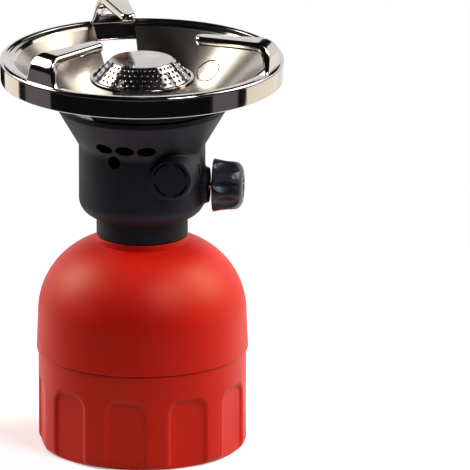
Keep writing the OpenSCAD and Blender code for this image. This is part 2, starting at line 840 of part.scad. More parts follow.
module burner_cup() {
    socket_r = tube_d / 2 + seat_fit;
    color("silver") rotate_extrude()
        polygon([[socket_r, socket_z], [socket_r + dish_t, socket_z], [socket_r + dish_t, socket_top_z],
            [dish_r, dish_top_z - dish_t], [dish_r, dish_top_z], [cap_foot_r - dish_t, dish_top_z],
            [cap_foot_r - dish_t, dish_top_z - dish_t], [socket_r + dish_t, socket_top_z + dish_t],
            [socket_r, socket_top_z + dish_t]]);
}

// Half section of the cap's sheet
module cap_outline() {
    slope_t = cap_t / sin(cap_slope);
    difference() {
        union() {
            polygon([[0, lip_top_z], [cap_foot_r, lip_top_z], [cap_top_r, cap_top_z], [0, cap_top_z]]);
            span(0, burner_r, dish_top_z - cap_skirt, lip_top_z);
        }
        polygon([[0, dish_top_z], [cap_foot_r - slope_t + cap_t / slope_tan(), dish_top_z],
            [cap_foot_r - slope_t, lip_top_z], [cap_top_r - slope_t + cap_t / slope_tan(), cap_top_z - cap_t],
            [0, cap_top_z - cap_t]]);
        span(0, burner_r - cap_t, dish_top_z - cap_skirt - cut, dish_top_z);
    }
}

function slope_tan() = tan(cap_slope);

module burner_cap() {
    color("silver") difference() {
        rotate_extrude() cap_outline();
        for (row = [0 : hole_rows - 1]) {
            share = (row + 0.7) / (hole_rows + 0.3);
            row_r = cap_foot_r + (cap_top_r - cap_foot_r) * share;
            row_z = lip_top_z + cap_rise * share;
            for (k = [0 : hole_count - 1])
                rotate([0, 0, (k + row / 2) * 360 / hole_count])
                    translate([row_r, 0, row_z]) rotate([0, 90 - cap_slope, 0])
                        cylinder(d = hole_d, h = 4 * cap_t, center = true);
        }
    }
}

module clamp_washer() {
    color("silver") ring(clamp_washer_d / 2, stem_hole_r, washer_z, washer_z + clamp_washer_t);
}

module clamp_nut() {
    color("silver") hex_nut(clamp_nut_flats, stem_r + seat_fit, nut_z, nut_z + clamp_nut_h);
}

module piercing_needle() {
    cone_z = needle_tip_z + needle_cone_l;
    color("silver") difference() {
        union() {
            translate([0, 0, needle_tip_z]) cylinder(d1 = needle_point_d, d2 = needle_d, h = needle_cone_l);
            disc(needle_d / 2, cone_z, needle_root_z());
        }
        disc(needle_bore_d / 2, cone_z, needle_root_z() + cut);
        translate([0, 0, cone_z + needle_bore_d]) rotate([90, 0, 0])
            cylinder(d = needle_bore_d, h = 2 * needle_d, center = true);
    }
}

module piercer_seal() {
    color("black") difference() {
        union() {
            disc(stem_r, stem_low_z - retainer_lip, stem_low_z);
            disc(seal_nose_d / 2, retainer_z - seal_nose_h, stem_low_z);
        }
        disc(needle_d / 2 + seat_fit, needle_tip_z, stem_low_z + cut);
    }
}

module seal_retainer() {
    color("goldenrod") difference() {
        disc(retainer_d / 2, retainer_z, retainer_z + retainer_h);
        disc(stem_r + seat_fit, retainer_z + retainer_lip, retainer_z + retainer_h + cut);
        disc(seal_nose_d / 2 + seat_fit, retainer_z - cut, retainer_z + retainer_h);
    }
}

base_cup();
top_dome();
neck_collar();
burner_housing();
valve_body();
valve_spindle();
spindle_seal();
gland_nut();
control_knob();
gas_jet();
jet_filter();
mixing_tube();
top_pan();
pan_nut();
burner_cup();
burner_cap();
clamp_washer();
clamp_nut();
piercing_needle();
piercer_seal();
seal_retainer();
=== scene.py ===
import math

import bmesh
import bpy
import numpy as np
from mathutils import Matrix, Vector

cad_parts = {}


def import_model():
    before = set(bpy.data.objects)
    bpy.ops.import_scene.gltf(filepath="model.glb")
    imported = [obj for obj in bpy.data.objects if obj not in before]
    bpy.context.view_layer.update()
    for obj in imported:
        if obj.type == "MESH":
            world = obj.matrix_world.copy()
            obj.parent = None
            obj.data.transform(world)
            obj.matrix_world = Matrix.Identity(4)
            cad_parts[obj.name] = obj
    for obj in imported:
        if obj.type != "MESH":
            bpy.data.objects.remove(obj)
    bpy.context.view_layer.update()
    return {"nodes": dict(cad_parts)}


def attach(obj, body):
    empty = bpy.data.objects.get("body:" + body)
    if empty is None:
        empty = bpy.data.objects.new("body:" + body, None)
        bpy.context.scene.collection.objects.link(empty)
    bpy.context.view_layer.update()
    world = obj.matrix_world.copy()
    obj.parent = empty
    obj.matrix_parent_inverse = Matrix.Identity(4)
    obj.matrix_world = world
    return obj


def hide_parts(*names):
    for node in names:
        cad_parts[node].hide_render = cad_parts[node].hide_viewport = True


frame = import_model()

NODES = frame["nodes"]
MM = 0.001
TINY = 1e-4

# Sizes in millimetres, turns in degrees

# Base cup
CUP_R = 54.0
CUP_IN_R = 48.5
CUP_EDGE_R = 4.0
CUP_FLOOR_Z = 3.5
FOOT_IN_R = 45.0
FOOT_RISE = 1.0
SEAT_R = 41.5
SEAT_IN_R = 38.5
SEAT_Z = 4.5
SEAM_Z = 51.5
SPIGOT_R = 51.0
SPIGOT_Z = 63.0
FLUTE_COUNT = 10
FLUTE_TURN = -94.4
FLUTE_HALF_W = 10.5
FLUTE_TOP = 37.0
FLUTE_DEPTH = 2.2
FLUTE_CORNER_R = 6.8
FLUTE_EDGE = 1.3

# Screw thread on the spigot
THREAD_Z = 53.6
THREAD_PITCH = 3.4
THREAD_TURNS = 2.1
THREAD_RISE = 0.75
THREAD_CREST_HALF = 0.35
THREAD_ROOT_HALF = 0.9
THREAD_SINK = 0.3
THREAD_FADE = 0.04

# Neck on the dome's crown
NECK_IN_R = 22.9
NECK_R = 23.8
NECK_FOOT_R = 23.9
NECK_Z = 112.9
NECK_FOOT_Z = 109.0

# Burner housing
HOUSING_Z = 124.0
HOUSING_R = 32.8
HOUSING_IN_R = 30.6
HOUSING_FLOOR_Z = 126.5
HOUSING_SKIN = 1.0
STEM_HOLE_R = 6.3
FLARE_Z = 162.0
FLARE_R = 44.2
FLARE_IN_R = 42.4
FLARE_TOP_Z = 181.6
LIP_Z = 185.2
LIP_FALL = 1.6
WALL_REACH = (15.0, 60.0)
BOSS_DRAFT = 0.10
BOSS_LOW_Z = 128.5
BOSS_HIGH_Z = FLARE_Z + 8
SPINDLE_Z = 140.0
VALVE_BOSS_R = 9.2
VALVE_BOSS_FACE = 35.1
VALVE_BOSS_EDGE = 0.8
VALVE_BOSS_FILLET = 1.8
VALVE_BORE_R = 7.3
BLANK_TURN = -93.0
BLANK_SHIFT = 19.5
BLANK_Z = 152.2
BLANK_R = 10.8
BLANK_FACE = 33.0
BLANK_EDGE = 0.7
BLANK_FILLET = 1.6
BLANK_POCKET_R = 9.7
BLANK_POCKET_REACH = (8.0, 31.4)
BLANK_SLOT_R = 9.05
BLANK_SLOT_IN_R = 8.15
BLANK_SLOT_HALF = 31
BLANK_SLOT_REACH = (30.0, 40.0)
VENT_HALF_W = 5.0
VENT_HALF_H = 2.85
VENT_TURN = -99.5
VENT_PITCH = 18.5
VENT_Z = FLARE_Z + 5.5
ROUND_VENT_R = 3.5
ROUND_VENT_TURN = -111.0
ROUND_VENT_Z = 160.0
SIDE_SLOT_H = 6.2
SIDE_SLOT_W = 1.8
SIDE_SLOT_TURN = -28.0
SIDE_SLOT_Z = 153.0

# Knob
KNOB_X = 37.0
KNOB_L = 15.7
KNOB_R = 13.9
KNOB_TAPER = 1.4
KNOB_EDGE_R = 6.2
KNOB_DISH = 0.5
KNOB_DISH_R = 5.6
KNOB_DISH_EDGE_R = 5.9
KNOB_SKIRT_IN_R = 9.2
KNOB_HOLLOW = 10.2
KNOB_HUB_R = 4.5
KNOB_SOCKET_R = 2.56
KNOB_SOCKET = 11.6
SCALLOPS = 8
SCALLOP_TURN = -17.0
SCALLOP_MID = 7.4
SCALLOP_HALF_L = 6.6
SCALLOP_HALF_W = 4.3
SCALLOP_DEPTH = 1.9
MARK_HALF_L = 1.1
MARK_HALF_W = 0.28
MARK_OUT = 3.6
MARK_ARC_R = 4.1
MARK_ARC_IN_R = 3.5
MARK_SINK = 0.1
MARK_RISE = 0.18

# Pan and pot supports
SHEET = 0.8
TUBE_HOLE_R = 7.4
PAN_FLOOR_R = 22.0
PAN_FLOOR_Z = 166.29
BOWL_R = 66.0
FLANGE_IN_R = 66.6
FLANGE_Z = 206.33
FLANGE_FALL = 0.15
FLANGE_STEP = (0.9, 0.1)
BEAD_R = 1.9
BEAD_RISE = 1.2
BEAD_MID_R = 71.7
BEAD_MID_Z = 206.73
BEAD_TURNS = (155, -4)
RIM_R = 73.2
RIM_TOP_R = 73.45
RIM_TOP_Z = 206.2
RIM_LOW_Z = 196.3
HEM_R = 0.6
HEM_TURNS = (-8, -240)
PRESS_MARK_TURN = 50.0
PRESS_MARK_OUT = 48.5
PRESS_MARK_R = 6.5
PRESS_MARK_CORD_R = 0.55
SUPPORT_TURNS = (-12.0, 108.0, 228.0)
SUPPORT_Z = 222.53
SUPPORT_SINK = 0.5
ELBOW_R = 8.0
ELBOW_AT = 18.0
FOOT_HALF_W = 11.0
ARM_HALF_W = 6.9
FOOT_FLARE = 1.6
FOOT_FLARE_L = 4.0
TIP_U = 29.1
TIP_R = 4.0
FOLD_R = 1.3
FOLD_FOOT_H = 2.0
FOLD_GROWTH = 2.0
FOLD_GROWTH_L = 11.0
WINDOW_IN_U = 30.0
WINDOW_OUT_U = 70.9
WINDOW_IN_HALF = 7.35
WINDOW_OUT_HALF = 11.5
WINDOW_LOW_Z = 160.0
WINDOW_HIGH_Z = 215.0

# Burner cap, its holes as (height over the cone, radius) from the mouth inwards
CAP_TOP_R = 16.2
CAP_TOP_Z = 206.83
CAP_FOOT_R = 25.4
CAP_LIP_R = 27.0
CAP_LIP_IN_R = 26.4
CAP_LIP_Z = 195.83
LIP_TOP_Z = 197.83
CAP_SHEET = 0.6
CAP_WALL = 0.25
CAP_ROWS = 4
CAP_HOLES = 46
CAP_HOLE_PROFILE = ((0.30, 1.25), (-0.20, 0.75), (-1.6, 0.75))

# Studio, in metres and degrees. A screen on the drape has its turns, its heights and its glow.
FLOOR_RINGS = (0.001, 0.3, 0.6, 0.9)
FLOOR_FADE = (0.20, 0.38)
DRAPE_R = 4.0
DRAPE_LIFTS = (-88, -70, -50, -35, -20, -8, 4, 14, 22, 35, 50, 65, 78, 88)
DRAPE_STEP = 5
DRAPE_GAP_LIFTS = (-8, 22)
DRAPE_GAP_TURN = 175
GLOWS = {
    "drape_dark": (0.0, 0.0, 0.0), "screen_cream": (1.25, 1.14, 1.0), "screen_grey": (1.0, 1.0, 1.0),
    "screen_dim": (0.15, 0.135, 0.16), "screen_high": (1.8, 1.7, 1.55),
}
SCREENS = (
    (10, 60, -35, -8, "screen_cream"), (60, 95, -35, -8, "screen_grey"), (125, 155, -35, -8, "screen_cream"),
    (165, 195, -35, -8, "screen_dim"), (335, 360, -35, -8, "screen_dim"), (5, 50, 22, 65, "screen_high"),
    (140, 185, 22, 50, "screen_high"),
)
FILL_LIGHT = 0.75
LAMP_AIM_Z = 0.12
CAMERA_TURN = 5.0
CAMERA_LIFT = 17.0
CAMERA_DISTANCE = 11.0
CAMERA_RIGHT = 0.0481
CAMERA_UP = 0.1070
CAMERA_SENSOR = 36.0
VIEW_WIDTH = 0.2444


# Outlines and meshes

def smoothstep(low, high, value):
    t = np.clip((value - low) / (high - low), 0.0, 1.0)
    return t * t * (3.0 - 2.0 * t)


def smooth_min(a, b, k):
    """The lesser of two distances, with a fillet of about k where they meet."""
    h = np.clip(0.5 + 0.5 * (b - a) / k, 0.0, 1.0)
    return b + (a - b) * h - k * h * (1.0 - h)


def arc(centre, radius, start, end, steps):
    """Points on an arc, angles in degrees."""
    turns = np.radians(np.linspace(start, end, steps + 1))
    return np.stack([centre[0] + radius * np.cos(turns), centre[1] + radius * np.sin(turns)], 1)


def circle(radius, count):
    """A full circle of count points round the origin."""
    return arc((0, 0), radius, 0, 360 - 360 / count, count - 1)


def oval(w, h, steps=16):
    reach = (w - h) / 2
    return np.concatenate([arc((reach, 0), h / 2, -90, 90, steps), arc((-reach, 0), h / 2, 90, 270, steps)])


def curved_bar(radius, in_radius, start, end, steps):
    """Outline of a stretch of a ring."""
    return np.concatenate([arc((0, 0), radius, start, end, steps), arc((0, 0), in_radius, end, start, steps)])


def rounded(corners, steps=7, closed=True):
    """Outline through (x, y, radius) corners, each corner drawn as an arc."""
    out = []
    count = len(corners)
    for i, (x, y, radius) in enumerate(corners):
        p = np.array((x, y), float)
        if radius <= 0 or (not closed and i in (0, count - 1)):
            out.append(p)
            continue
        a = np.array(corners[i - 1][:2], float) - p
        b = np.array(corners[(i + 1) % count][:2], float) - p
        a /= np.linalg.norm(a)
        b /= np.linalg.norm(b)
        half = math.acos(float(np.clip(a @ b, -1, 1))) / 2
        middle = (a + b) / np.linalg.norm(a + b)
        centre = p + middle * radius / math.sin(half)
        first = p + a * radius / math.tan(half) - centre
        last = p + b * radius / math.tan(half) - centre
        start = math.atan2(first[1], first[0])
        turn = (math.atan2(last[1], last[0]) - start + math.pi) % (2 * math.pi) - math.pi
        for k in range(steps + 1):
            t = start + turn * k / steps
            out.append(centre + radius * np.array((math.cos(t), math.sin(t))))
    return np.array(out)


def refine(outline, step, closed=True):
    """The same outline with no side longer than step."""
    ends = np.roll(outline, -1, 0) if closed else outline[1:]
    out = []
    for a, b in zip(outline, ends):
        parts = max(1, math.ceil(np.linalg.norm(b - a) / step))
        out += [a + (b - a) * k / parts for k in range(parts)]
    if not closed:
        out.append(outline[-1])
    return np.array(out)


def grid_faces(rows, cols, wrap_rows=False, wrap_cols=False):
    i, j = np.meshgrid(np.arange(rows if wrap_rows else rows - 1),
                       np.arange(cols if wrap_cols else cols - 1), indexing="ij")
    i2, j2 = (i + 1) % rows, (j + 1) % cols
    quads = np.stack([i * cols + j, i * cols + j2, i2 * cols + j2, i2 * cols + j], -1)
    return quads.reshape(-1, 4).tolist()


def stack_faces(rings, count, base=0):
    """Faces of a closed stack of rings with count points each, ends included."""
    last = (rings - 1) * count
    faces = grid_faces(rings, count, False, True)
    faces += [list(range(count))[::-1], list(range(last, last + count))]
    return [[base + k for k in face] for face in faces]


def new_object(name, points, faces, sharp=40.0):
    mesh = bpy.data.meshes.new(name)
    mesh.from_pydata((np.asarray(points, float) * MM).tolist(), [], faces)
    bm = bmesh.new()
    bm.from_mesh(mesh)
    bmesh.ops.remove_doubles(bm, verts=bm.verts, dist=1e-6)
    bmesh.ops.recalc_face_normals(bm, faces=bm.faces)
    bm.to_mesh(mesh)
    bm.free()
    mesh.shade_smooth()
    mesh.set_sharp_from_angle(angle=math.radians(sharp))
    obj = bpy.data.objects.new(name, mesh)
    bpy.context.scene.collection.objects.link(obj)
    return obj


def settle(obj, body, finish, stands_for=()):
    obj.data.materials.clear()
    obj.data.materials.append(finish)
    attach(obj, body)
    if stands_for:
        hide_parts(*stands_for)


def turned(name, outline, segments=256, radius_of=None, sharp=40.0):
    """Closed outline of (radius, height) turned about the upright axis."""
    turns = np.linspace(0, 2 * math.pi, segments, endpoint=False)[None, :]
    r = np.repeat(outline[:, :1], segments, 1)
    z = np.repeat(outline[:, 1:], segments, 1)
    if radius_of is not None:
        r = radius_of(r, z, np.repeat(turns, len(outline), 0))
    points = np.stack([r * np.cos(turns), r * np.sin(turns), z], -1).reshape(-1, 3)
    return new_object(name, points, grid_faces(len(outline), segments, True, True), sharp)


def axes_at(turn):
    """Outward and sideways directions at a turn round the upright axis, and the upward one."""
    c, s = math.cos(turn), math.sin(turn)
    return np.array((c, s, 0.0)), np.array((-s, c, 0.0)), np.array((0.0, 0.0, 1.0))


def prism(outline, near, far, turn, z, shift=0.0):
    """Cutter: outline of (sideways, upward) run from near to far along the direction turn."""
    out, side, up = axes_at(math.radians(turn))
    rings = [[out * d + side * (s + shift) + up * (z + h) for s, h in outline] for d in (near, far)]
    return new_object("cutter", np.array(rings).reshape(-1, 3), stack_faces(2, len(outline)))


def cut(obj, cutters, sharp=40.0):
    """Takes the cutters out of obj for good."""
    for cutter in cutters:
        step = obj.modifiers.new("cut", "BOOLEAN")
        step.operation = "DIFFERENCE"
        step.solver = "MANIFOLD"
        step.object = cutter
    bpy.context.view_layer.update()
    seen = obj.evaluated_get(bpy.context.evaluated_depsgraph_get())
    mesh = bpy.data.meshes.new_from_object(seen)
    obj.modifiers.clear()
    obj.data = mesh
    mesh.shade_smooth()
    mesh.set_sharp_from_angle(angle=math.radians(sharp))
    for cutter in cutters:
        bpy.data.objects.remove(cutter)


# Materials

def material(name, color, metallic, roughness):
    mat = bpy.data.materials.new(name)
    mat.use_nodes = True
    shader = mat.node_tree.nodes["Principled BSDF"]
    shader.inputs["Base Color"].default_value = (*color, 1.0)
    shader.inputs["Metallic"].default_value = metallic
    shader.inputs["Roughness"].default_value = roughness
    return mat, shader


def add_node(mat, kind, **values):
    node = mat.node_tree.nodes.new(kind)
    for key, value in values.items():
        if key in node.inputs:
            node.inputs[key].default_value = value
        else:
            setattr(node, key, value)
    return node


def link(mat, source, target):
    mat.node_tree.links.new(source, target)


def place(mat, scale=(1.0, 1.0, 1.0)):
    """Coordinates in metres on the object, stretched by scale."""
    coords = add_node(mat, "ShaderNodeTexCoord")
    mapping = add_node(mat, "ShaderNodeMapping", Scale=scale)
    link(mat, coords.outputs["Object"], mapping.inputs["Vector"])
    return mapping.outputs["Vector"]


def noise(mat, scale, detail):
    node = add_node(mat, "ShaderNodeTexNoise", Scale=scale, Detail=detail)
    link(mat, place(mat), node.inputs["Vector"])
    return node.outputs["Fac"]


def spread(mat, value, low, high, start=0.3, end=0.7):
    """Maps a value between start and end onto the range low to high."""
    node = add_node(mat, "ShaderNodeMapRange", clamp=True)
    for key, number in (("From Min", start), ("From Max", end), ("To Min", low), ("To Max", high)):
        node.inputs[key].default_value = number
    link(mat, value, node.inputs["Value"])
    return node.outputs["Result"]


def tint(mat, shader, value, color_a, color_b):
    mix = add_node(mat, "ShaderNodeMix", data_type="RGBA")
    mix.inputs[6].default_value = (*color_a, 1.0)
    mix.inputs[7].default_value = (*color_b, 1.0)
    link(mat, value, mix.inputs[0])
    link(mat, mix.outputs[2], shader.inputs["Base Color"])


def relief(mat, shader, layers):
    """Bump from (value, strength, depth in metres) layers, one on the other."""
    last = None
    for value, strength, depth in layers:
        bump = add_node(mat, "ShaderNodeBump", Strength=strength, Distance=depth)
        link(mat, value, bump.inputs["Height"])
        if last is not None:
            link(mat, last, bump.inputs["Normal"])
        last = bump.outputs["Normal"]
    link(mat, last, shader.inputs["Normal"])


def moulded(name, color, worn, rough_low, rough_high, grain, gloss, sheen=(1.0, 1.0, 1.0)):
    """Injection-moulded plastic: fine grain, uneven gloss and faint handling marks."""
    mat, shader = material(name, color, 0.0, rough_low)
    handling = spread(mat, noise(mat, scale=90.0, detail=6.0), 0.0, 1.0, start=0.5, end=0.85)
    tint(mat, shader, handling, color, worn)
    rough = spread(mat, noise(mat, scale=45.0, detail=5.0), rough_low, rough_high)
    link(mat, rough, shader.inputs["Roughness"])
    fine = noise(mat, scale=grain, detail=3.0)
    waves = noise(mat, scale=200.0, detail=2.0)
    relief(mat, shader, [(fine, 0.10, 0.00008), (waves, 0.04, 0.0003)])
    shader.inputs["Specular IOR Level"].default_value = gloss
    shader.inputs["Specular Tint"].default_value = (*sheen, 1.0)
    return mat


def metal(name, color, worn, rough_low, rough_high, sheen=(1.0, 1.0, 1.0)):
    """Metal with faint stains, uneven polish and fine scratches."""
    mat, shader = material(name, color, 1.0, rough_low)
    stains = spread(mat, noise(mat, scale=60.0, detail=5.0), 0.0, 1.0, start=0.4, end=0.8)
    tint(mat, shader, stains, color, worn)
    rough = spread(mat, noise(mat, scale=110.0, detail=6.0), rough_low, rough_high)
    link(mat, rough, shader.inputs["Roughness"])
    relief(mat, shader, [(noise(mat, scale=900.0, detail=4.0), 0.10, 0.00002)])
    shader.inputs["Specular Tint"].default_value = (*sheen, 1.0)
    return mat


def spun(name, color, worn, rough_low, rough_high, anisotropy):
    """Plated sheet with fine rings left by the press, which draw highlights out along the slope."""
    mat, shader = material(name, color, 1.0, rough_low)
    stains = spread(mat, noise(mat, scale=45.0, detail=4.0), 0.0, 1.0, start=0.4, end=0.8)
    tint(mat, shader, stains, color, worn)
    radius = add_node(mat, "ShaderNodeVectorMath", operation="LENGTH")
    link(mat, place(mat, (1.0, 1.0, 0.0)), radius.inputs[0])
    rings = add_node(mat, "ShaderNodeTexNoise", noise_dimensions="1D", Scale=2600.0, Detail=3.0)
    link(mat, radius.outputs["Value"], rings.inputs["W"])
    link(mat, spread(mat, rings.outputs["Fac"], rough_low, rough_high), shader.inputs["Roughness"])
    relief(mat, shader, [(rings.outputs["Fac"], 0.04, 0.00002)])
    shader.inputs["Anisotropic"].default_value = anisotropy
    tangent = add_node(mat, "ShaderNodeTangent", direction_type="RADIAL", axis="Z")
    link(mat, tangent.outputs["Tangent"], shader.inputs["Tangent"])
    return mat


HOLDER = moulded("holder_red", (0.67, 0.008, 0.003), (0.69, 0.013, 0.006), 0.43, 0.51, 1500.0, 0.32,
                 (1.0, 0.90, 0.48))
BLACK = moulded("housing_black", (0.004, 0.004, 0.007), (0.008, 0.008, 0.011), 0.52, 0.64, 2600.0, 0.31,
                (0.88, 0.90, 1.0))
KNOB = moulded("knob_black", (0.010, 0.011, 0.014), (0.015, 0.016, 0.020), 0.28, 0.36, 1200.0, 0.40,
               (0.84, 0.92, 1.0))
MARK = moulded("mark_white", (0.78, 0.78, 0.76), (0.62, 0.61, 0.59), 0.40, 0.55, 1500.0, 0.5)
BOWL = spun("bowl_chrome", (0.50, 0.46, 0.41), (0.44, 0.40, 0.35), 0.15, 0.21, 0.7)
CHROME = metal("rim_chrome", (0.60, 0.57, 0.53), (0.54, 0.51, 0.47), 0.06, 0.11)
# Near-black, dull metal with dimmed reflections: painted shade for the pan sheet's underside and the inside
# of its skirt
PAN_SHADE = metal("pan_underside_painted_shade", (0.03, 0.03, 0.03), (0.018, 0.018, 0.018), 0.40, 0.55, (0.4, 0.4, 0.42))
BURNER = metal("burner_plate", (0.58, 0.56, 0.54), (0.50, 0.47, 0.45), 0.08, 0.14)
# Near-black, dull finish for the cap's hole walls and inner face: painted shade inside the holes
CAP_HOLE_SHADE = moulded("burner_hole_painted_shade", (0.010, 0.009, 0.009), (0.020, 0.018, 0.016), 0.70, 0.90, 1500.0, 0.2)
STEEL = metal("plain_steel", (0.42, 0.41, 0.40), (0.32, 0.31, 0.30), 0.28, 0.45)
BRASS = metal("valve_brass", (0.72, 0.46, 0.17), (0.48, 0.28, 0.10), 0.22, 0.40)
RUBBER = moulded("seal_rubber", (0.012, 0.012, 0.012), (0.032, 0.031, 0.030), 0.62, 0.80, 1800.0, 0.3)

for node, finish in {
    "top_dome": HOLDER, "neck_collar": BLACK, "valve_body": BRASS, "valve_spindle": BRASS,
    "spindle_seal": RUBBER, "gland_nut": BRASS, "gas_jet": BRASS, "jet_filter": STEEL,
    "mixing_tube": STEEL, "pan_nut": STEEL, "burner_cup": STEEL,
    "clamp_washer": STEEL, "clamp_nut": STEEL, "piercing_needle": STEEL, "piercer_seal": RUBBER,
    "seal_retainer": BRASS,
}.items():
    for entry in NODES[node].material_slots:
        entry.material = finish


# Base cup: turned wall with softly edged flutes

def fluted(r, z, turn):
    """Radius of the cup, with its outer wall sunk in at the flutes."""
    pitch = 2 * math.pi / FLUTE_COUNT
    off = (turn - math.radians(FLUTE_TURN) + pitch / 2) % pitch - pitch / 2
    qx = np.abs(CUP_R * np.sin(off)) - (FLUTE_HALF_W - FLUTE_CORNER_R)
    qz = z - (FLUTE_TOP - FLUTE_CORNER_R)
    beyond = np.hypot(np.maximum(qx, 0), np.maximum(qz, 0))
    distance = beyond + np.minimum(np.maximum(qx, qz), 0) - FLUTE_CORNER_R
    inside = 1.0 - smoothstep(-FLUTE_EDGE, FLUTE_EDGE, distance)
    flat = (CUP_R - FLUTE_DEPTH) / np.cos(off)
    outer = r > CUP_R - CUP_EDGE_R + TINY
    return np.where(outer, r - inside * np.maximum(0, r - flat), r)


cup_outline = refine(rounded([
    (0, FOOT_RISE, 0), (FOOT_IN_R, FOOT_RISE, 0.4), (FOOT_IN_R, 0, 0.5), (CUP_R, 0, CUP_EDGE_R),
    (CUP_R, SEAM_Z, 0.5), (SPIGOT_R, SEAM_Z, 0.2), (SPIGOT_R, SPIGOT_Z, 0.5), (CUP_IN_R, SPIGOT_Z, 0.5),
    (CUP_IN_R, CUP_FLOOR_Z, 1.6), (SEAT_R, CUP_FLOOR_Z, 0.2), (SEAT_R, SEAT_Z, 0.3), (SEAT_IN_R, SEAT_Z, 0.3),
    (SEAT_IN_R, CUP_FLOOR_Z, 0.2), (0, CUP_FLOOR_Z, 0),
]), 0.9)
settle(turned("cup_shell", cup_outline, 720, fluted), "base", HOLDER, ["base_cup"])


# Screw thread on the spigot, a low ridge of two turns

def thread_ridge():
    steps = 400
    section = [(-THREAD_SINK, -THREAD_ROOT_HALF), (THREAD_RISE, -THREAD_CREST_HALF),
               (THREAD_RISE, THREAD_CREST_HALF), (-THREAD_SINK, THREAD_ROOT_HALF)]
    points = []
    for k in range(steps + 1):
        t = k / steps
        a = 2 * math.pi * THREAD_TURNS * t
        climb = THREAD_Z + THREAD_PITCH * THREAD_TURNS * t
        fade = float(smoothstep(0.0, THREAD_FADE, min(t, 1 - t)))
        for reach, rise in section:
            r = SPIGOT_R + (reach if reach < 0 else reach * fade)
            points.append((r * math.cos(a), r * math.sin(a), climb + rise))
    return new_object("cup_thread", points, stack_faces(steps + 1, len(section)), 30.0)


settle(thread_ridge(), "base", HOLDER)


# Short upright neck on the dome's crown, round the foot of the collar

neck_outline = refine(rounded([
    (NECK_IN_R, NECK_Z, 0), (NECK_R, NECK_Z, 0.3), (NECK_FOOT_R, NECK_FOOT_Z, 0), (NECK_IN_R, NECK_FOOT_Z, 0),
]), 0.5)
settle(turned("dome_neck", neck_outline), "head", HOLDER)


# Burner housing: cylinder and flare with two blended bosses, then the holes

def boss(r, z, turn, direction, height, radius, face, edge, shift=0.0):
    """Distance to a drafted round boss that faces direction, far away on the housing's other sides."""
    far_away, least_facing = 100.0, 0.3
    off = turn - math.radians(direction)
    along = r * np.cos(off) - face + edge
    across = np.hypot(r * np.sin(off) - shift, z - height) - radius + edge
    across = across + BOSS_DRAFT * np.minimum(along, 0)
    distance = np.hypot(np.maximum(across, 0), np.maximum(along, 0)) - edge
    distance = distance + np.minimum(np.maximum(across, along), 0)
    return np.where(np.cos(off) > least_facing, distance, far_away)


def bossed(r, z, turn):
    """Radius of the wall with both bosses, found by halving the range that it lies in."""
    reach_in, reach_out, halvings = 4.0, 14.0, 22
    low, high = r - reach_in, r + reach_out
    for _ in range(halvings):
        middle = (low + high) / 2
        blank = boss(middle, z, turn, BLANK_TURN, BLANK_Z, BLANK_R, BLANK_FACE, BLANK_EDGE, BLANK_SHIFT)
        valve = boss(middle, z, turn, 0.0, SPINDLE_Z, VALVE_BOSS_R, VALVE_BOSS_FACE, VALVE_BOSS_EDGE)
        field = smooth_min(smooth_min(middle - r, blank, BLANK_FILLET), valve, VALVE_BOSS_FILLET)
        low = np.where(field < 0, middle, low)
        high = np.where(field < 0, high, middle)
    solved = (low + high) / 2
    slope = (FLARE_R - HOUSING_R) / (FLARE_TOP_Z - FLARE_Z)
    within_wall = HOUSING_R - HOUSING_SKIN + slope * np.maximum(0, z - FLARE_Z)
    outer = (r > within_wall) & (z > BOSS_LOW_Z) & (z < BOSS_HIGH_Z)
    return np.where(outer, np.maximum(solved, r), r)


housing_outline = refine(rounded([
    (STEM_HOLE_R, HOUSING_Z, 0), (HOUSING_R, HOUSING_Z, 9.0), (HOUSING_R, FLARE_Z, 7.0),
    (FLARE_R, FLARE_TOP_Z, 0.8), (FLARE_R, LIP_Z, 0.5), (FLARE_IN_R, LIP_Z - LIP_FALL, 0.4),
    (FLARE_IN_R, FLARE_TOP_Z + 0.4, 0.4), (HOUSING_IN_R, FLARE_Z, 5.0), (HOUSING_IN_R, HOUSING_FLOOR_Z, 6.8),
    (STEM_HOLE_R, HOUSING_FLOOR_Z, 0),
], 12), 0.45)
housing = turned("housing_shell", housing_outline, 720, bossed)
blank_place = (BLANK_TURN, BLANK_Z, BLANK_SHIFT)
holes = []
for middle in (45, 135, 225, 315):
    slot = curved_bar(BLANK_SLOT_R, BLANK_SLOT_IN_R, middle - BLANK_SLOT_HALF, middle + BLANK_SLOT_HALF, 14)
    holes.append(prism(slot, *BLANK_SLOT_REACH, *blank_place))
vent = circle(1.0, 40) * (VENT_HALF_W, VENT_HALF_H)
for k in (-1, 0, 1):
    holes.append(prism(vent, *WALL_REACH, VENT_TURN + VENT_PITCH * k, VENT_Z))
holes.append(prism(circle(ROUND_VENT_R, 36), *WALL_REACH, ROUND_VENT_TURN, ROUND_VENT_Z))
holes.append(prism(oval(SIDE_SLOT_H, SIDE_SLOT_W)[:, ::-1], *WALL_REACH, SIDE_SLOT_TURN, SIDE_SLOT_Z))
holes.append(prism(circle(VALVE_BORE_R, 60), *WALL_REACH, 0, SPINDLE_Z))
holes.append(prism(circle(BLANK_POCKET_R, 60), *BLANK_POCKET_REACH, *blank_place))
cut(housing, holes)
settle(housing, "head", BLACK, ["burner_housing"])


# Knob: turned about the spindle with lens-shaped finger scallops

